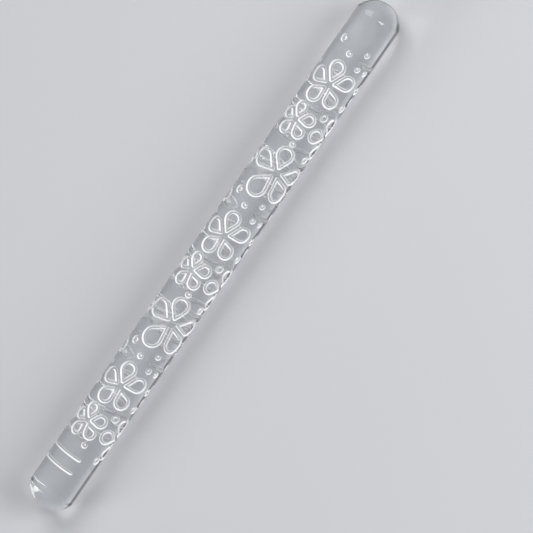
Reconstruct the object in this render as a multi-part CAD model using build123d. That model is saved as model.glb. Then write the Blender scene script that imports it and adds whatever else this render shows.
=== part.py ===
from build123d import *
from build123d.topology import SkipClean
import math
import os

# A hand rolling pin for icing and dough: one solid clear rod with rounded ends and a
# flower pattern sunk into its surface. The rod lies along X, its middle is the origin,
# and +Z is the side that faces up in use.

# The rod, in millimetres
rod_length = 250.0
rod_diameter = 20.0
dome_depth = 7.0            # how far each rounded end reaches past the straight rod
shoulder_round = 3.0        # softens the corner between the dome and the straight rod
barrel_face_count = 9       # lengths that the straight rod's outer face is kept in

# Every sunk line has one depth
line_width = 1.5
line_depth = 0.6

# Two short arcs near one end, across the rod
first_arc_offset = 19.5     # from the tip of the marked end to the middle of the line
arc_spacing = 6.3
arc_count = 2
arc_heading = 12.0          # the middle of each arc, in degrees from the top
arc_spread = 126.0          # how far each arc reaches round the rod, in degrees

# The flower pattern comes round once per turn and repeats along the rod
repeat_length = 75.0
first_repeat_offset = 54.8  # from the tip of the marked end to the start of a repeat
marked_end_margin = 27.0    # nothing of the pattern starts nearer that tip than this
plain_end_margin = 18.0     # and nothing ends nearer the other tip than this
pattern_heading = -37.0     # where a turn of the pattern is counted from, in degrees from the top

# Petal reach, from a flower's middle to the middle of the line at the petal's far end
petal_reaches = {"large": 12.8, "medium": 9.9, "small": 7.7}
petal_width_share = 0.61    # widest part of a petal, line middle to line middle
petal_tip_share = 0.17      # where a petal starts, from the flower's middle
petal_web_share = 0.07      # least land between the lines of neighbouring petals, of the reach

# A dot is a finer ring line round a small island
dot_diameters = {"large": 3.7, "small": 2.8}
dot_line_width = 1.1

# Overruns for cuts
overrun = 0.5

rod_radius = rod_diameter / 2
girth = math.pi * rod_diameter
half_line = line_width / 2

# One repeat of the pattern. A flower has its size, its middle as shares of the repeat
# and of the girth, the headings of its five petals in degrees, and each petal's reach
# as a share of the reach of its size.
flower_place_shares = [
    ("medium", 0.077, 0.019, (78, 8, -56, -140, 152), (1.00, 1.07, 1.06, 0.97, 1.02)),
    ("small", 0.820, 0.072, (81, 10, -62, -134, 156), (0.96, 1.01, 1.04, 1.00, 1.01)),
    ("large", 0.520, -0.028, (74, 8, -78, -140, 157), (0.98, 0.88, 0.92, 1.03, 1.06)),
    ("medium", 0.802, -0.215, (91, 18, -48, -127, 172), (0.94, 1.00, 0.88, 0.97, 0.96)),
    ("small", 0.046, -0.322, (83, 11, -62, -140, 158), (0.88, 0.97, 1.00, 0.97, 1.05)),
    ("small", 0.313, -0.326, (118, 42, -24, -99, -166), (0.90, 1.00, 1.03, 1.07, 1.04)),
    ("medium", 0.550, -0.446, (72, -3, -92, -162, 146), (1.00, 0.96, 0.86, 1.03, 0.88)),
    ("medium", 0.281, 0.322, (125, 45, -24, -101, -174), (1.08, 1.06, 0.96, 0.97, 1.06)),
    ("small", 0.533, 0.295, (119, 45, -22, -100, -166), (0.96, 1.00, 1.00, 0.97, 1.00)),
    ("large", 0.849, 0.370, (109, 42, -21, -114, 172), (1.00, 1.05, 1.05, 0.88, 1.03)),
]
dot_place_shares = {
    "large": [
        (0.034, 0.427), (0.027, 0.231), (0.446, 0.428), (0.332, 0.123), (0.910, -0.084),
        (0.656, -0.154), (0.999, -0.175), (0.118, -0.196), (0.447, -0.252), (0.641, -0.271),
        (0.513, -0.291), (0.715, -0.392), (0.906, -0.400),
    ],
    "small": [
        (0.126, 0.427), (0.077, 0.330), (0.665, 0.385), (0.278, 0.024), (0.700, -0.008),
        (0.229, -0.083), (0.323, -0.083), (0.227, -0.154), (0.185, -0.266), (0.167, -0.403),
        (0.241, -0.462), (0.358, -0.479), (0.129, 0.497), (0.700, 0.484),
    ],
}


def rod_blank():
    """The plain rod: half its outline, turned about its own axis."""
    tip = rod_length / 2
    shoulder = tip - dome_depth
    dome_radius = (rod_radius**2 + dome_depth**2) / (2 * dome_depth)
    halfway = math.asin(rod_radius / dome_radius) / 2
    bulge = (tip - dome_radius * (1 - math.cos(halfway)), dome_radius * math.sin(halfway))
    right = ThreePointArc((tip, 0), bulge, (shoulder, rod_radius))
    face_length = 2 * shoulder / barrel_face_count
    joins = [shoulder - count * face_length for count in range(barrel_face_count + 1)]
    top = [Line((near, rod_radius), (far, rod_radius)) for near, far in zip(joins, joins[1:])]
    left = ThreePointArc((-shoulder, rod_radius), (-bulge[0], bulge[1]), (-tip, 0))
    axis_line = Line((-tip, 0), (tip, 0))
    outline = make_face([right, *top, left, axis_line])
    upper = outline.vertices().filter_by(lambda corner: corner.Y > rod_radius / 2).sort_by(Axis.X)
    outline = fillet([upper[0], upper[-1]], shoulder_round)
    return revolve(outline, Axis.X, clean=False)


def petal_drop(reach, room):
    """The drop that a petal's line follows, pointing away from its flower along X.

    room is the angle from the petal's middle to halfway to its nearest neighbour."""
    spare = half_line + petal_web_share * reach / 2
    slant = math.sin(room)
    head = min(petal_width_share * reach / 2, (reach * slant - spare) / (1 + slant))
    tip = max(petal_tip_share * reach, spare / slant)
    centre = reach - head
    lean = math.acos(head / (centre - tip))
    touch = (centre - head * math.cos(lean), head * math.sin(lean))
    mirrored_touch = (touch[0], -touch[1])
    upper = Line((tip, 0), touch)
    round_end = ThreePointArc(touch, (reach, 0), mirrored_touch)
    lower = Line(mirrored_touch, (tip, 0))
    return make_face([upper, round_end, lower])


def petal_line(reach, room, heading):
    """One petal as a flat line of full width, in its flower's own frame."""
    drop = petal_drop(reach, room)
    line = offset(drop, half_line) - offset(drop, -half_line)
    return Rot(0, 0, heading) * line


def petal_rooms(headings):
    """For each petal of a flower, half the angle to its nearest neighbour, in radians."""
    rooms = []
    for heading in headings:
        turns = [abs((heading - other + 180) % 360 - 180) for other in headings]
        nearest = sorted(turns)[1]
        rooms.append(math.radians(nearest / 2))
    return rooms


def dot_line(diameter):
    """The ring line of one dot."""
    return Circle(diameter / 2) - Circle(diameter / 2 - dot_line_width)


def outward(turn):
    """The direction away from the rod's axis, at a share of a turn from the top."""
    angle = 2 * math.pi * turn
    return Vector(0, math.sin(angle), math.cos(angle))


def stamp(sketch, along, around):
    """A flat sketch drawn out from the rod's axis to above its surface.

    along is measured from the rod's middle, and around along the girth from the top."""
    middle = sketch.bounding_box().center()
    turn = (around + middle.Y) / girth
    seat = Plane(origin=(along + middle.X, 0, 0), x_dir=(1, 0, 0), z_dir=outward(turn))
    centred = Pos(-middle.X, -middle.Y) * sketch
    return extrude(seat * centred, rod_radius + overrun, dir=outward(turn))


def arc_pockets():
    """The short arcs, each with the round ends that the cutting tool leaves."""
    low_end = arc_heading - arc_spread / 2
    high_end = arc_heading + arc_spread / 2
    on_axis = (Align.NONE, Align.NONE, Align.CENTER)
    band = Cylinder(rod_radius + overrun, line_width, arc_size=arc_spread, align=on_axis)
    band = Rot(-low_end, 0, 0) * Rot(0, -90, 0) * band
    round_ends = [stamp(Circle(half_line), 0, girth * end / 360) for end in (low_end, high_end)]
    arc = (band + round_ends) & skin
    first = -rod_length / 2 + first_arc_offset
    return [Pos(first + count * arc_spacing, 0, 0) * arc for count in range(arc_count)]


def motifs():
    """Every motif of one repeat: its place along and around, and its flat sketches."""
    drawn = []
    for size, along_share, turn_share, headings, reach_shares in flower_place_shares:
        reaches = [share * petal_reaches[size] for share in reach_shares]
        rooms = petal_rooms(headings)
        petals = [petal_line(*petal) for petal in zip(reaches, rooms, headings)]
        drawn.append((along_share * repeat_length, turn_share * girth, petals))
    for size, places in dot_place_shares.items():
        dot = dot_line(dot_diameters[size])
        drawn += [(along * repeat_length, turn * girth, [dot]) for along, turn in places]
    return drawn


def pattern_pockets():
    """The pockets of every motif that lies wholly inside the patterned stretch."""
    low_end = -rod_length / 2 + marked_end_margin
    high_end = rod_length / 2 - plain_end_margin
    first_start = -rod_length / 2 + first_repeat_offset
    repeats = range(-1, math.ceil(rod_length / repeat_length))
    pockets = []
    for along, around, sketches in motifs():
        boxes = [sketch.bounding_box() for sketch in sketches]
        near = along + min(box.min.X for box in boxes)
        far = along + max(box.max.X for box in boxes)
        starts = [first_start + repeat * repeat_length for repeat in repeats]
        kept_starts = [start for start in starts if start + near >= low_end and start + far <= high_end]
        sunk = [stamp(sketch, along, around) & skin for sketch in sketches]
        seats = [Pos(start, 0, 0) * Rot(-pattern_heading, 0, 0) for start in kept_starts]
        pockets += [seat * pocket for seat in seats for pocket in sunk]
    return pockets


# The stretch just under the surface that every line is sunk through
skin = Rot(0, 90, 0) * (
    Cylinder(rod_radius + overrun, 2 * rod_length)
    - Cylinder(rod_radius - line_depth, 2 * rod_length)
)
pockets = arc_pockets() + pattern_pockets()
# Without the clean-up, the lengths of the outer face stay apart, so no face has every line in it
with SkipClean():
    engraved_rod = rod_blank() - pockets
engraved_rod.label = "engraved_rod"

os.makedirs("parts", exist_ok=True)
export_step(engraved_rod, "parts/engraved_rod.step", write_pcurves=False)
print("engraved_rod", len(engraved_rod.solids()), "solid of", round(engraved_rod.volume), "mm3")
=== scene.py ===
import math
from typing import NamedTuple

import bmesh
import bpy
from mathutils import Matrix, Vector


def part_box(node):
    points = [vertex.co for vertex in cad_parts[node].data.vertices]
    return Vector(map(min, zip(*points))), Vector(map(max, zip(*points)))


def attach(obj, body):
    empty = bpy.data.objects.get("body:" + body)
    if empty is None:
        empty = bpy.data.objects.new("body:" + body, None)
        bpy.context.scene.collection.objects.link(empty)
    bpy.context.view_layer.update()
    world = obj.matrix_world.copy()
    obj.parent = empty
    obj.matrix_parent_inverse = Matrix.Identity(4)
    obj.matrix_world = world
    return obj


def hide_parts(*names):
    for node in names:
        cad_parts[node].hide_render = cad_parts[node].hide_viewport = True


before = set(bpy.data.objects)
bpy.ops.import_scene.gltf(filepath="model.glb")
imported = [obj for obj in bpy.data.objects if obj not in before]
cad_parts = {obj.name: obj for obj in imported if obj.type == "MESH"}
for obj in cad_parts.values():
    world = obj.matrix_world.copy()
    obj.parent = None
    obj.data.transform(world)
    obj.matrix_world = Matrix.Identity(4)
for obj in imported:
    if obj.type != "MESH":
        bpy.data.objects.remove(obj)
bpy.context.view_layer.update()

bl_info = {
    "name": "Flower rolling pin",
    "version": (1, 0, 0),
    "blender": (4, 5, 0),
    "location": "3D View > Sidebar > Rolling pin",
    "description": "Makes a clear rolling pin with a sunk flower pattern, and a stage for it",
    "category": "Add Mesh",
}

# The rod lies along X with its middle at the origin, and +Z is up. Everything is in metres.
MM = 0.001
NODE = "engraved_rod"
BODY = "root"
ROD_NAME = "clear_rod"
ROD_LOW, ROD_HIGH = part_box(NODE)

# Points nearer than this are one point
WELD = 0.001 * MM
# Points nearer a form's mirror plane than this lie on it
MIRROR_SLACK = 0.0001 * MM
# A face whose points are all nearer the rod's true surface than this is polished
SURFACE_SLACK = 0.01 * MM
# A sunk face whose points all lie deeper than this share of the depth is the line's floor
LINE_FLOOR_SHARE = 0.93

# The rod's materials, in the order of its slots
POLISHED, WALL, LINE_FLOOR = range(3)
WHITE = (1.0, 1.0, 1.0)

# How rough each of them is, from its smoothest to its roughest places
POLISH_ROUGHNESS = (0.0, 0.03)
WALL_ROUGHNESS = (0.35, 0.60)
LINE_FLOOR_ROUGHNESS = (0.06, 0.20)
# How fine their unevenness is, in waves to the metre
POLISH_WAVES = 90.0
CUT_WAVES = 700.0
# The grain that the cutter left on a line's walls
GRAIN_WAVES = 3000.0
GRAIN_DEPTH = 0.05 * MM
GRAIN_STRENGTH = 0.25

# The photograph: its width in pixels, where the rod's middle lies in it, and what its width
# takes in at the rod
PHOTO_SIZE = 533
ROD_MIDDLE_PIXEL = (214.2, 255.9)
VIEW_WIDTH = 216.1 * MM
# The camera: which way it stands from the rod, how far off, how it is rolled, how wide its
# sensor is in millimetres, and from where to where it sees. A long lens fits the photograph.
CAMERA_WAY = (0.150, -0.595, 0.790)
CAMERA_REACH = 5.0
CAMERA_ROLL = math.radians(55.29)
SENSOR_WIDTH = 36.0
CLIP_START = 0.05
CLIP_END = 100.0

# The floor: half its side, its cells along a side, and its gap to the rod
FLOOR_REACH = 20.0
FLOOR_CELLS = 8
FLOOR_GAP = 0.05 * MM
# Its finish: how dark its darker patches are, their waves to the metre, and its dull surface
FLOOR_PATCH_SHARE = 0.97
FLOOR_WAVES = 3.0
FLOOR_ROUGHNESS = 0.9
FLOOR_GLOSS = 0.1
# Each soft lamp: its name, its place, its width and height, and its power in watts
SOFTBOXES = [
    ("key", (1.1, 0.7, 1.8), 1.6, 1.6, 24.0),
    ("rim", (-1.6, 1.2, 0.9), 0.8, 0.8, 12.0),
    ("fill", (0.9, -1.7, 0.9), 1.0, 1.0, 36.0),
]

# A form that cuts a line stands proud of the rod, and is wider there. These are shares of the
# line's depth and of half its width.
PROUD_HEIGHT_SHARE = 0.60
PROUD_WIDTH_SHARE = 1.08
# Half of such a form's section, from the middle of its top to the middle of the line's floor:
# shares of half the line's width, and of its depth
LINE_SECTION_SHARES = [
    (0.0, -PROUD_HEIGHT_SHARE), (PROUD_WIDTH_SHARE, -PROUD_HEIGHT_SHARE),
    (1.0, 0.0), (0.92, 0.20), (0.74, 0.74), (0.44, 0.95), (0.0, 1.0),
]

# One repeat of the pattern. A flower has its size, its middle as shares of the repeat
# and of the girth, the headings of its five petals in degrees, and each petal's reach
# as a share of the reach of its size.
FLOWER_PLACE_SHARES = [
    ("medium", 0.077, 0.019, (78, 8, -56, -140, 152), (1.00, 1.07, 1.06, 0.97, 1.02)),
    ("small", 0.820, 0.072, (81, 10, -62, -134, 156), (0.96, 1.01, 1.04, 1.00, 1.01)),
    ("large", 0.520, -0.028, (74, 8, -78, -140, 157), (0.98, 0.88, 0.92, 1.03, 1.06)),
    ("medium", 0.802, -0.215, (91, 18, -48, -127, 172), (0.94, 1.00, 0.88, 0.97, 0.96)),
    ("small", 0.046, -0.322, (83, 11, -62, -140, 158), (0.88, 0.97, 1.00, 0.97, 1.05)),
    ("small", 0.313, -0.326, (118, 42, -24, -99, -166), (0.90, 1.00, 1.03, 1.07, 1.04)),
    ("medium", 0.550, -0.446, (72, -3, -92, -162, 146), (1.00, 0.96, 0.86, 1.03, 0.88)),
    ("medium", 0.281, 0.322, (125, 45, -24, -101, -174), (1.08, 1.06, 0.96, 0.97, 1.06)),
    ("small", 0.533, 0.295, (119, 45, -22, -100, -166), (0.96, 1.00, 1.00, 0.97, 1.00)),
    ("large", 0.849, 0.370, (109, 42, -21, -114, 172), (1.00, 1.05, 1.05, 0.88, 1.03)),
]
DOT_PLACE_SHARES = {
    "large": [
        (0.034, 0.427), (0.027, 0.231), (0.446, 0.428), (0.332, 0.123), (0.910, -0.084),
        (0.656, -0.154), (0.999, -0.175), (0.118, -0.196), (0.447, -0.252), (0.641, -0.271),
        (0.513, -0.291), (0.715, -0.392), (0.906, -0.400),
    ],
    "small": [
        (0.126, 0.427), (0.077, 0.330), (0.665, 0.385), (0.278, 0.024), (0.700, -0.008),
        (0.229, -0.083), (0.323, -0.083), (0.227, -0.154), (0.185, -0.266), (0.167, -0.403),
        (0.241, -0.462), (0.358, -0.479), (0.129, 0.497), (0.700, 0.484),
    ],
}


def length(name, description, default):
    """A size in metres that a user may change."""
    return bpy.props.FloatProperty(
        name=name, description=description, default=default, min=0.0, precision=5, unit="LENGTH"
    )


def turn(name, description, default):
    """An angle that a user may change, given in degrees."""
    return bpy.props.FloatProperty(
        name=name, description=description, default=math.radians(default), subtype="ANGLE"
    )


def share(name, description, default):
    """A plain number from 0 to 1 that a user may change."""
    return bpy.props.FloatProperty(
        name=name, description=description, default=default, min=0.0, max=1.0, subtype="FACTOR"
    )


def count(name, description, default):
    """A whole number that a user may change."""
    return bpy.props.IntProperty(name=name, description=description, default=default, min=1)


def colour(name, description, default):
    """A colour that a user may change."""
    return bpy.props.FloatVectorProperty(
        name=name, description=description, default=default, size=3, min=0.0, max=1.0,
        subtype="COLOR",
    )


class RodSizes(bpy.types.PropertyGroup):
    """The plain rod."""

    length: length("Length", "From tip to tip", ROD_HIGH.x - ROD_LOW.x)
    diameter: length("Diameter", "Across the straight rod", ROD_HIGH.z - ROD_LOW.z)
    dome_depth: length("Dome depth", "How far each end reaches past the straight rod", 7 * MM)
    shoulder_round: length("Shoulder round", "Softens the edge of each dome", 3 * MM)
    turn_steps: count("Turn steps", "Faces round the rod", 96)
    dome_steps: count("Dome steps", "Faces from a tip to the dome's edge", 14)
    shoulder_steps: count("Shoulder steps", "Faces over a shoulder", 5)
    barrel_steps: count("Barrel steps", "Faces along the straight rod", 60)


class EngravingSizes(bpy.types.PropertyGroup):
    """The lines sunk into the rod."""

    line_width: length("Line width", "Across a line at the surface", 1.6 * MM)
    line_depth: length("Line depth", "From the surface to a line's floor", 0.6 * MM)
    dot_line_width: length("Dot line width", "Across a dot's line at the surface", 1.15 * MM)
    large_dot: length("Large dot", "Across a large dot, outside its line", 3.7 * MM)
    small_dot: length("Small dot", "Across a small dot, outside its line", 2.8 * MM)
    first_arc: length("First arc", "From the tip to the first short arc", 19.5 * MM)
    arc_spacing: length("Arc spacing", "From one short arc to the next", 6.3 * MM)
    arc_count: count("Arcs", "How many short arcs", 2)
    arc_heading: turn("Arc heading", "The middle of each arc, from the top", 12)
    arc_spread: turn("Arc spread", "How far each arc reaches round the rod", 126)
    repeat_length: length("Repeat", "Length of the pattern along the rod", 75 * MM)
    first_repeat: length("First repeat", "From the marked tip to where a repeat starts", 54.8 * MM)
    marked_end_margin: length("Marked end margin", "Free of flowers at the arcs' end", 27 * MM)
    plain_end_margin: length("Plain end margin", "Bare at the other end", 18 * MM)
    pattern_heading: turn("Pattern heading", "Where the pattern's turn is counted from", -37)
    large_reach: length("Large petal", "Reach of a large flower's petals", 12.8 * MM)
    medium_reach: length("Medium petal", "Reach of a medium flower's petals", 9.9 * MM)
    small_reach: length("Small petal", "Reach of a small flower's petals", 7.7 * MM)
    petal_width: share("Petal width", "Widest part of a petal, as a share of its reach", 0.61)
    petal_tip: share("Petal tip", "Where a petal starts, as a share of its reach", 0.17)
    petal_web: share("Petal web", "Least land between petals, as a share of their reach", 0.07)
    round_steps: count("Round steps", "Faces over half of a petal's round end", 10)
    side_steps: count("Side steps", "Faces along a petal's straight side", 5)
    tip_steps: count("Tip steps", "Faces over half of a petal's tip or of an arc's end", 3)
    dot_steps: count("Dot steps", "Faces round a dot", 20)
    arc_steps: count("Arc steps", "Faces along half of a short arc", 36)


class Finish(bpy.types.PropertyGroup):
    """The rod's clear material and the look of its sunk lines."""

    clear: colour("Clear", "Tint of the polished material", (0.985, 0.995, 1.0))
    milled: colour("Milled", "Tint of the sunk lines' walls", (0.96, 0.975, 1.0))
    refraction: bpy.props.FloatProperty(
        name="Refraction", description="Index of refraction", default=1.49, min=1.0, max=3.0
    )
    wall_clearness: share("Wall clearness", "How clear a line's walls are", 0.10)
    line_floor_clearness: share("Line floor clearness", "How clear a line's floor is", 0.92)


class StageLooks(bpy.types.PropertyGroup):
    """The floor and the lights."""

    floor: colour("Floor", "Colour of the floor", (0.67, 0.68, 0.70))
    daylight: colour("Surroundings", "Colour of the room round the stage", (0.16, 0.165, 0.175))


def link(name, data):
    """A new object for a mesh, a lamp or a camera, untransformed, at the origin."""
    made = bpy.data.objects.new(name, data)
    bpy.context.scene.collection.objects.link(made)
    return made


def only(kind, geometry):
    """The items of one kind in what an operator returns."""
    return [item for item in geometry if isinstance(item, kind)]


def everything(bm):
    """All the points, edges and faces of a form."""
    return bm.verts[:] + bm.edges[:] + bm.faces[:]


def turn_round(bm, axis, steps):
    """Turns an outline all the way round an axis through the origin into a closed form."""
    bmesh.ops.spin(
        bm, geom=bm.verts[:] + bm.edges[:], cent=(0, 0, 0), axis=axis, angle=2 * math.pi,
        steps=steps, use_merge=True,
    )
    bmesh.ops.remove_doubles(bm, verts=bm.verts, dist=WELD)
    bmesh.ops.recalc_face_normals(bm, faces=bm.faces)


def close_with_mirror(bm):
    """Closes half a form, open at the XZ plane, with its mirror image across that plane."""
    bmesh.ops.mirror(bm, geom=everything(bm), matrix=Matrix(), merge_dist=WELD, axis="Y")
    bmesh.ops.recalc_face_normals(bm, faces=bm.faces)


class EndCurves(NamedTuple):
    """Where the curves of a rounded end lie: how far along the rod the centres of the dome
    and of the shoulder are, how far out the shoulder's centre is, and the angle from the
    rod's axis at which the two curves meet."""

    dome_place: float
    shoulder_place: float
    shoulder_rise: float
    meeting: float


def end_curves(rod):
    """The curves of the rod's ends."""
    radius = rod.diameter / 2
    dome_radius = (radius**2 + rod.dome_depth**2) / (2 * rod.dome_depth)
    dome_place = rod.length / 2 - dome_radius
    rise = radius - rod.shoulder_round
    run = math.sqrt((dome_radius - rod.shoulder_round) ** 2 - rise**2)
    return EndCurves(dome_place, dome_place + run, rise, math.atan2(rise, run))


def carry(bm, vertex, centre, angle, steps):
    """Draws an arc on from a vertex in the XZ plane and returns the arc's last vertex."""
    spun = bmesh.ops.spin(
        bm, geom=[vertex], cent=centre, axis=(0, -1, 0), angle=angle, steps=steps
    )
    return only(bmesh.types.BMVert, spun["geom_last"])[0]


def blank_rod(rod):
    """The plain rod: half its outline, drawn from tip to tip and turned about its axis."""
    dome_place, shoulder_place, rise, meeting = end_curves(rod)
    bend = math.pi / 2 - meeting
    step = Vector((-2 * shoulder_place / rod.barrel_steps, 0, 0))
    bm = bmesh.new()
    last = bm.verts.new((rod.length / 2, 0, 0))
    last = carry(bm, last, (dome_place, 0, 0), meeting, rod.dome_steps)
    last = carry(bm, last, (shoulder_place, 0, rise), bend, rod.shoulder_steps)
    for _ in range(rod.barrel_steps):
        drawn = bmesh.ops.extrude_vert_indiv(bm, verts=[last])
        last = drawn["verts"][0]
        bmesh.ops.translate(bm, verts=[last], vec=step)
    last = carry(bm, last, (-shoulder_place, 0, rise), bend, rod.shoulder_steps)
    carry(bm, last, (-dome_place, 0, 0), meeting, rod.dome_steps)
    turn_round(bm, (1, 0, 0), rod.turn_steps)
    mesh = bpy.data.meshes.new(ROD_NAME)
    bm.to_mesh(mesh)
    bm.free()
    return mesh


def line_section(bm, half_width, depth, reach):
    """The section of a sunk line as an outer and an inner face, standing on the X axis at
    that reach."""
    right = [(reach + half_width * across, -depth * down) for across, down in LINE_SECTION_SHARES]
    left = [(2 * reach - across, height) for across, height in right[1:-1]]
    right_verts = [bm.verts.new((across, 0, height)) for across, height in right]
    left_verts = [bm.verts.new((across, 0, height)) for across, height in left]
    outer = bm.faces.new(right_verts)
    inner = bm.faces.new([right_verts[-1], *reversed(left_verts), right_verts[0]])
    return outer, inner


def spin_faces(bm, faces, centre, angle, steps):
    """Sweeps faces about an upright axis and returns the faces at the end."""
    spun = bmesh.ops.spin(
        bm, geom=faces, cent=centre, axis=(0, 0, 1), angle=angle, steps=steps
    )
    return only(bmesh.types.BMFace, spun["geom_last"])


def push_faces(bm, faces, way, steps):
    """Draws faces out along a straight way in equal steps and returns the faces at the end."""
    for _ in range(steps):
        drawn = bmesh.ops.extrude_face_region(bm, geom=faces)["geom"]
        bmesh.ops.translate(bm, verts=only(bmesh.types.BMVert, drawn), vec=way / steps)
        bmesh.ops.delete(bm, geom=faces, context="FACES")
        faces = only(bmesh.types.BMFace, drawn)
    return faces


def petal_cutter(reach, room, engraving):
    """A petal's line as a closed form in the rod's unrolled surface, pointing along X.

    room is half the angle to the nearest neighbour. The section is swept round half of the
    petal's round end and down its side, and its outer half round the tip. What passes the
    petal's middle is cut off, and the mirror gives the other half."""
    half_line = engraving.line_width / 2
    spare = half_line + engraving.petal_web * reach / 2
    slant = math.sin(room)
    head = min(engraving.petal_width * reach / 2, (reach * slant - spare) / (1 + slant))
    tip = max(engraving.petal_tip * reach, spare / slant)
    centre = reach - head
    lean = math.acos(head / (centre - tip))
    touch = Vector((centre - head * math.cos(lean), head * math.sin(lean), 0))
    bm = bmesh.new()
    faces = line_section(bm, half_line, engraving.line_depth, reach)
    faces = spin_faces(bm, list(faces), (centre, 0, 0), math.pi - lean, engraving.round_steps)
    way = Vector((tip, 0, 0)) - touch
    faces = push_faces(bm, faces, way, engraving.side_steps)
    outward = Vector((0, 0, 1)).cross(way).normalized()
    outer = max(faces, key=lambda face: -face.calc_center_median().dot(outward))
    spin_faces(bm, [outer], (tip, 0, 0), lean, engraving.tip_steps)
    bmesh.ops.delete(bm, geom=[outer], context="FACES")
    bmesh.ops.bisect_plane(
        bm, geom=everything(bm), dist=MIRROR_SLACK, plane_co=(0, 0, 0), plane_no=(0, 1, 0),
        clear_inner=True,
    )
    bmesh.ops.remove_doubles(bm, verts=bm.verts, dist=WELD)
    flush = [face for face in bm.faces if all(abs(v.co.y) < WELD for v in face.verts)]
    bmesh.ops.delete(bm, geom=flush, context="FACES")
    close_with_mirror(bm)
    return bm


def dot_cutter(diameter, engraving):
    """A dot's ring line as a closed form in the rod's unrolled surface."""
    half_line = engraving.dot_line_width / 2
    bm = bmesh.new()
    faces = line_section(bm, half_line, engraving.line_depth, diameter / 2 - half_line)
    whole = bmesh.ops.dissolve_faces(bm, faces=faces)["region"]
    bmesh.ops.delete(bm, geom=whole, context="FACES_ONLY")
    turn_round(bm, (0, 0, 1), engraving.dot_steps)
    return bm


def arc_cutter(engraving, radius):
    """A short arc's line as a closed form in the rod's unrolled surface, along Y.

    The section is drawn out along half of the arc, and its outer half round the arc's end. The
    mirror gives the other half."""
    bm = bmesh.new()
    faces = line_section(bm, engraving.line_width / 2, engraving.line_depth, 0)
    way = Vector((0, radius * engraving.arc_spread / 2, 0))
    ends = push_faces(bm, faces, way, engraving.arc_steps)
    outer = max(ends, key=lambda face: face.calc_center_median().x)
    last = spin_faces(bm, [outer], way, math.pi, engraving.tip_steps * 2)
    bmesh.ops.delete(bm, geom=[*ends, *last], context="FACES")
    bmesh.ops.remove_doubles(bm, verts=bm.verts, dist=WELD)
    loose = [edge for edge in bm.edges if not edge.link_faces]
    bmesh.ops.delete(bm, geom=loose, context="EDGES")
    close_with_mirror(bm)
    return bm


class Cutter:
    """A form in the rod's unrolled surface, with the box that it fills there."""

    def __init__(self, bm):
        self.bm = bm
        self.low = [min(vert.co[side] for vert in bm.verts) for side in (0, 1)]
        self.high = [max(vert.co[side] for vert in bm.verts) for side in (0, 1)]

    def touches(self, other, girth):
        """Whether the boxes of two cutters meet, on a surface that closes round the rod."""
        if self.high[0] < other.low[0] or other.high[0] < self.low[0]:
            return False
        apart = (self.low[1] + self.high[1] - other.low[1] - other.high[1]) / 2
        apart = abs((apart + girth / 2) % girth - girth / 2)
        return apart < (self.high[1] - self.low[1] + other.high[1] - other.low[1]) / 2


def placed(bm, along, around, heading=0.0):
    """A copy of a form, turned and moved within the unrolled surface."""
    copy = bm.copy()
    matrix = Matrix.Translation((along, around, 0)) @ Matrix.Rotation(heading, 4, "Z")
    bmesh.ops.transform(copy, matrix=matrix, verts=copy.verts)
    return Cutter(copy)


def petal_rooms(headings):
    """For each petal of a flower, half the angle to its nearest neighbour, in radians."""
    rooms = []
    for heading in headings:
        turns = [abs((heading - other + 180) % 360 - 180) for other in headings]
        rooms.append(math.radians(sorted(turns)[1] / 2))
    return rooms


def motifs(engraving, girth):
    """Every motif of one repeat as a list of placed cutters."""
    reaches = {
        "large": engraving.large_reach,
        "medium": engraving.medium_reach,
        "small": engraving.small_reach,
    }
    dots = {
        "large": dot_cutter(engraving.large_dot, engraving),
        "small": dot_cutter(engraving.small_dot, engraving),
    }
    first_turn = engraving.pattern_heading / (2 * math.pi)
    drawn = []
    for size, along_share, turn_share, headings, reach_shares in FLOWER_PLACE_SHARES:
        along = along_share * engraving.repeat_length
        around = (turn_share + first_turn) * girth
        petals = []
        for heading, room, reach_share in zip(headings, petal_rooms(headings), reach_shares):
            petal = petal_cutter(reach_share * reaches[size], room, engraving)
            petals.append(placed(petal, along, around, math.radians(heading)))
        drawn.append(petals)
    for size, places in DOT_PLACE_SHARES.items():
        for along_share, turn_share in places:
            along = along_share * engraving.repeat_length
            drawn.append([placed(dots[size], along, (turn_share + first_turn) * girth)])
    return drawn


def all_cutters(rod, engraving):
    """The cutters of every line on the rod: the short arcs, and each motif that lies wholly
    inside the patterned stretch."""
    girth = math.pi * rod.diameter
    tip = rod.length / 2
    arc = arc_cutter(engraving, rod.diameter / 2)
    arc_around = girth * engraving.arc_heading / (2 * math.pi)
    first_arc = engraving.first_arc - tip
    cutters = [
        placed(arc, first_arc + index * engraving.arc_spacing, arc_around)
        for index in range(engraving.arc_count)
    ]
    low_end = engraving.marked_end_margin - tip
    high_end = tip - engraving.plain_end_margin
    # The margins are measured to the lines, which the proud tops of the forms reach past
    spare = (PROUD_WIDTH_SHARE - 1) * engraving.line_width / 2
    for motif in motifs(engraving, girth):
        near = min(cutter.low[0] for cutter in motif) + spare
        far = max(cutter.high[0] for cutter in motif) - spare
        # The repeat before the first has motifs in the patterned stretch too
        for repeat in range(-1, math.ceil(rod.length / engraving.repeat_length)):
            start = engraving.first_repeat - tip + repeat * engraving.repeat_length
            if start + near >= low_end and start + far <= high_end:
                cutters += [placed(cutter.bm, start, 0) for cutter in motif]
    return cutters


def apart_sets(cutters, girth):
    """The cutters in as few sets as it takes for none to meet another of its own set."""
    sets = []
    for cutter in cutters:
        for members in sets:
            if not any(cutter.touches(other, girth) for other in members):
                members.append(cutter)
                break
        else:
            sets.append([cutter])
    return sets


def wrap(bm, radius):
    """Rolls a form in the unrolled surface round the rod."""
    for vert in bm.verts:
        heading = vert.co.y / radius
        out = radius + vert.co.z
        vert.co = (vert.co.x, out * math.sin(heading), out * math.cos(heading))


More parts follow.
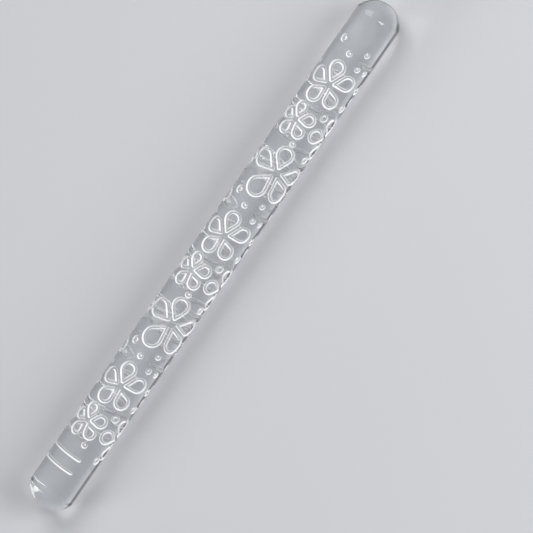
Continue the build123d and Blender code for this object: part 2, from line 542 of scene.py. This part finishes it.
def subtract(target, cutters, radius):
    """Rolls a set of forms that lie apart round the rod and cuts them out of its mesh."""
    bm = bmesh.new()
    piece = bpy.data.meshes.new("cutter")
    for cutter in cutters:
        cutter.bm.to_mesh(piece)
        bm.from_mesh(piece)
    wrap(bm, radius)
    bm.to_mesh(piece)
    bm.free()
    tool = link("cutter", piece)
    cut = target.modifiers.new("Cut", "BOOLEAN")
    cut.operation = "DIFFERENCE"
    cut.solver = "MANIFOLD"
    cut.object = tool
    evaluated = target.evaluated_get(bpy.context.evaluated_depsgraph_get())
    mesh = bpy.data.meshes.new_from_object(evaluated)
    target.modifiers.remove(cut)
    old = target.data
    target.data = mesh
    bpy.data.objects.remove(tool)
    bpy.data.meshes.remove(piece)
    bpy.data.meshes.remove(old)
    mesh.name = ROD_NAME


def true_normal(place, ends):
    """The direction straight out of the plain rod at a place on its surface."""
    side = math.copysign(1, place.x)
    out = math.hypot(place.y, place.z)
    if out == 0:
        return Vector((side, 0, 0))
    if abs(place.x) <= ends.shoulder_place:
        return Vector((0, place.y, place.z)).normalized()
    run = abs(place.x) - ends.dome_place
    if math.atan2(out, run) <= ends.meeting:
        return Vector((side * run, place.y, place.z)).normalized()
    run = abs(place.x) - ends.shoulder_place
    rise = out - ends.shoulder_rise
    return Vector((side * run, place.y / out * rise, place.z / out * rise)).normalized()


def finish_faces(mesh, rod, depth):
    """Gives the polished and the sunk faces their materials and their smooth shading, with
    sharp edges where they meet."""
    radius = rod.diameter / 2
    ends = end_curves(rod)
    bm = bmesh.new()
    bm.from_mesh(mesh)
    for face in bm.faces:
        depths = [radius - math.hypot(vert.co.y, vert.co.z) for vert in face.verts]
        straight = all(abs(vert.co.x) < ends.shoulder_place for vert in face.verts)
        face.material_index = POLISHED
        if straight and max(depths) > SURFACE_SLACK:
            deep = min(depths) > LINE_FLOOR_SHARE * depth
            face.material_index = LINE_FLOOR if deep else WALL
        face.smooth = True
    for edge in bm.edges:
        polished = [face.material_index == POLISHED for face in edge.link_faces]
        edge.smooth = all(polished) or not any(polished)
    open_edges = [edge for edge in bm.edges if not edge.is_manifold]
    if open_edges:
        raise RuntimeError(f"the cut rod has {len(open_edges)} open edges")
    bm.to_mesh(mesh)
    bm.free()
    # The polished faces take the true rod's normals, and a normal of no length leaves a sunk
    # face with its own
    normals = [Vector()] * len(mesh.loops)
    for face in mesh.polygons:
        if face.material_index == POLISHED:
            for corner in face.loop_indices:
                place = mesh.vertices[mesh.loops[corner].vertex_index].co
                normals[corner] = true_normal(place, ends)
    mesh.normals_split_custom_set(normals)


class Nodes:
    """A material's or the world's node tree, with short ways to add to it."""

    def __init__(self, tree):
        self.tree = tree
        self.tree.nodes.clear()

    def add(self, kind, **values):
        """A new node, with its settings given by name."""
        node = self.tree.nodes.new(kind)
        for name, value in values.items():
            setattr(node, name, value)
        return node

    def join(self, source, target):
        """A link from one socket to another."""
        self.tree.links.new(source, target)

    def noise(self, place, scale, detail):
        """A noise over a place, and its plain value."""
        node = self.add("ShaderNodeTexNoise")
        node.inputs["Scale"].default_value = scale
        node.inputs["Detail"].default_value = detail
        self.join(place, node.inputs["Vector"])
        return node.outputs["Fac"]

    def blend(self, factor, first, second):
        """A colour that goes from one to another with a value from 0 to 1."""
        node = self.add("ShaderNodeMix", data_type="RGBA")
        node.inputs["A"].default_value = (*first, 1)
        node.inputs["B"].default_value = (*second, 1)
        self.join(factor, node.inputs["Factor"])
        return node.outputs["Result"]

    def spread(self, value, low, high):
        """A value from 0 to 1 brought between two others."""
        node = self.add("ShaderNodeMapRange")
        node.inputs["To Min"].default_value = low
        node.inputs["To Max"].default_value = high
        self.join(value, node.inputs["Value"])
        return node.outputs["Result"]


def new_material(name):
    """An empty material and its nodes, with a Principled shader on its output."""
    made = bpy.data.materials.new(name)
    made.use_nodes = True
    nodes = Nodes(made.node_tree)
    output = nodes.add("ShaderNodeOutputMaterial")
    shader = nodes.add("ShaderNodeBsdfPrincipled")
    nodes.join(shader.outputs["BSDF"], output.inputs["Surface"])
    place = nodes.add("ShaderNodeTexCoord").outputs["Object"]
    return made, nodes, shader, place


def polished_acrylic(finish):
    """Clear cast acrylic with a polished surface that has a faint, uneven haze."""
    made, nodes, shader, place = new_material("Polished acrylic")
    shader.inputs["Base Color"].default_value = (*finish.clear, 1)
    shader.inputs["IOR"].default_value = finish.refraction
    shader.inputs["Transmission Weight"].default_value = 1.0
    haze = nodes.noise(place, POLISH_WAVES, detail=3.0)
    nodes.join(nodes.spread(haze, *POLISH_ROUGHNESS), shader.inputs["Roughness"])
    return made


def milled_acrylic(finish):
    """The walls of the sunk lines, where the cutter left the acrylic satin and whitish."""
    made, nodes, shader, place = new_material("Milled acrylic")
    shader.inputs["IOR"].default_value = finish.refraction
    shader.inputs["Transmission Weight"].default_value = finish.wall_clearness
    cloud = nodes.noise(place, CUT_WAVES, detail=4.0)
    nodes.join(nodes.spread(cloud, *WALL_ROUGHNESS), shader.inputs["Roughness"])
    nodes.join(nodes.blend(cloud, finish.milled, WHITE), shader.inputs["Base Color"])
    grain = nodes.add("ShaderNodeBump")
    grain.inputs["Strength"].default_value = GRAIN_STRENGTH
    grain.inputs["Distance"].default_value = GRAIN_DEPTH
    nodes.join(nodes.noise(place, GRAIN_WAVES, detail=2.0), grain.inputs["Height"])
    nodes.join(grain.outputs["Normal"], shader.inputs["Normal"])
    return made


def line_floor_acrylic(finish):
    """The flat floors of the sunk lines, which are nearly clear."""
    made, nodes, shader, place = new_material("Line floor acrylic")
    shader.inputs["Base Color"].default_value = (*finish.clear, 1)
    shader.inputs["IOR"].default_value = finish.refraction
    shader.inputs["Transmission Weight"].default_value = finish.line_floor_clearness
    haze = nodes.noise(place, CUT_WAVES, detail=3.0)
    nodes.join(nodes.spread(haze, *LINE_FLOOR_ROUGHNESS), shader.inputs["Roughness"])
    return made


def make_floor(looks, radius):
    """A wide floor that a rod of this radius lies on."""
    bm = bmesh.new()
    bmesh.ops.create_grid(
        bm, x_segments=FLOOR_CELLS, y_segments=FLOOR_CELLS, size=FLOOR_REACH
    )
    bmesh.ops.translate(bm, verts=bm.verts, vec=(0, 0, -radius - FLOOR_GAP))
    mesh = bpy.data.meshes.new("floor")
    bm.to_mesh(mesh)
    bm.free()
    floor = link("floor", mesh)
    made, nodes, shader, place = new_material("Floor")
    patch = [FLOOR_PATCH_SHARE * part for part in looks.floor]
    patches = nodes.noise(place, FLOOR_WAVES, detail=2.0)
    nodes.join(nodes.blend(patches, looks.floor, patch), shader.inputs["Base Color"])
    shader.inputs["Roughness"].default_value = FLOOR_ROUGHNESS
    shader.inputs["Specular IOR Level"].default_value = FLOOR_GLOSS
    mesh.materials.append(made)
    return floor


def light_room(looks):
    """The even light of the room round the stage."""
    world = bpy.data.worlds.new("room")
    world.use_nodes = True
    nodes = Nodes(world.node_tree)
    output = nodes.add("ShaderNodeOutputWorld")
    room = nodes.add("ShaderNodeBackground")
    room.inputs["Color"].default_value = (*looks.daylight, 1)
    nodes.join(room.outputs["Background"], output.inputs["Surface"])
    bpy.context.scene.world = world


def hang_softbox(name, place, width, height, power):
    """A soft lamp that faces the rod's middle."""
    lamp = bpy.data.lights.new(name, "AREA")
    lamp.shape = "RECTANGLE"
    lamp.size = width
    lamp.size_y = height
    lamp.energy = power
    made = link(name, lamp)
    made.location = place
    made.rotation_euler = (-Vector(place)).to_track_quat("-Z", "Y").to_euler()


def make_camera():
    """The camera where the photograph was taken from: high, a little to the plain end's side,
    and rolled until the rod runs from the lower left to the upper right."""
    lens = bpy.data.cameras.new("camera")
    lens.sensor_width = SENSOR_WIDTH
    lens.lens = SENSOR_WIDTH * CAMERA_REACH / VIEW_WIDTH
    lens.clip_start = CLIP_START
    lens.clip_end = CLIP_END
    back = Vector(CAMERA_WAY).normalized()
    right = Vector((1, 0, 0)) - back * back.x
    right.normalize()
    up = back.cross(right)
    across = right * math.cos(CAMERA_ROLL) - up * math.sin(CAMERA_ROLL)
    upward = right * math.sin(CAMERA_ROLL) + up * math.cos(CAMERA_ROLL)
    pixel = VIEW_WIDTH / PHOTO_SIZE
    aside, below = (PHOTO_SIZE / 2 - place for place in ROD_MIDDLE_PIXEL)
    aim = across * aside * pixel - upward * below * pixel
    turned = Matrix((across, upward, back)).transposed()
    camera = link("camera", lens)
    camera.matrix_world = Matrix.Translation(aim + back * CAMERA_REACH) @ turned.to_4x4()
    return camera


class ROLLINGPIN_OT_make_rod(bpy.types.Operator):
    """Make the plain clear rod with its rounded ends"""

    bl_idname = "rolling_pin.make_rod"
    bl_label = "Make the rod"
    bl_options = {"REGISTER", "UNDO"}

    def execute(self, context):
        scene = context.scene
        rod = link(ROD_NAME, blank_rod(scene.rod_sizes))
        for acrylic in (polished_acrylic, milled_acrylic, line_floor_acrylic):
            rod.data.materials.append(acrylic(scene.rod_finish))
        finish_faces(rod.data, scene.rod_sizes, scene.engraving_sizes.line_depth)
        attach(rod, BODY)
        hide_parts(NODE)
        return {"FINISHED"}


class ROLLINGPIN_OT_sink_pattern(bpy.types.Operator):
    """Sink the flowers, the dots and the short arcs into the rod"""

    bl_idname = "rolling_pin.sink_pattern"
    bl_label = "Sink the pattern"
    bl_options = {"REGISTER", "UNDO"}

    def execute(self, context):
        sizes = context.scene.rod_sizes
        rod = bpy.data.objects[ROD_NAME]
        cutters = all_cutters(sizes, context.scene.engraving_sizes)
        for members in apart_sets(cutters, math.pi * sizes.diameter):
            subtract(rod, members, sizes.diameter / 2)
        finish_faces(rod.data, sizes, context.scene.engraving_sizes.line_depth)
        return {"FINISHED"}


class ROLLINGPIN_OT_make_stage(bpy.types.Operator):
    """Make the floor, the lights and the camera"""

    bl_idname = "rolling_pin.make_stage"
    bl_label = "Make the stage"
    bl_options = {"REGISTER", "UNDO"}

    def execute(self, context):
        scene = context.scene
        looks = scene.stage_looks
        make_floor(looks, scene.rod_sizes.diameter / 2)
        light_room(looks)
        for softbox in SOFTBOXES:
            hang_softbox(*softbox)
        scene.camera = make_camera()
        scene.view_settings.view_transform = "Standard"
        return {"FINISHED"}


class ROLLINGPIN_PT_panel(bpy.types.Panel):
    """The rolling pin's pieces, in the order in which they are made"""

    bl_label = "Rolling pin"
    bl_idname = "ROLLINGPIN_PT_panel"
    bl_space_type = "VIEW_3D"
    bl_region_type = "UI"
    bl_category = "Rolling pin"

    def draw(self, context):
        for group in SETTINGS:
            box = self.layout.box()
            box.label(text=group.replace("_", " ").capitalize())
            values = getattr(context.scene, group)
            for name in values.bl_rna.properties.keys():
                if name not in ("rna_type", "name"):
                    box.prop(values, name)
        for operator in OPERATORS:
            self.layout.operator(operator.bl_idname)


SETTINGS = {
    "rod_sizes": RodSizes,
    "engraving_sizes": EngravingSizes,
    "rod_finish": Finish,
    "stage_looks": StageLooks,
}
OPERATORS = [ROLLINGPIN_OT_make_rod, ROLLINGPIN_OT_sink_pattern, ROLLINGPIN_OT_make_stage]
CLASSES = [*SETTINGS.values(), *OPERATORS, ROLLINGPIN_PT_panel]


def register():
    """Adds the settings, the operators and the panel to Blender."""
    for item in CLASSES:
        bpy.utils.register_class(item)
    for name, group in SETTINGS.items():
        setattr(bpy.types.Scene, name, bpy.props.PointerProperty(type=group))


def unregister():
    """Takes the settings, the operators and the panel out again."""
    for name in SETTINGS:
        delattr(bpy.types.Scene, name)
    for item in reversed(CLASSES):
        bpy.utils.unregister_class(item)


def main():
    register()
    bpy.ops.rolling_pin.make_rod()
    bpy.ops.rolling_pin.sink_pattern()
    bpy.ops.rolling_pin.make_stage()


if __name__ == "__main__":
    main()
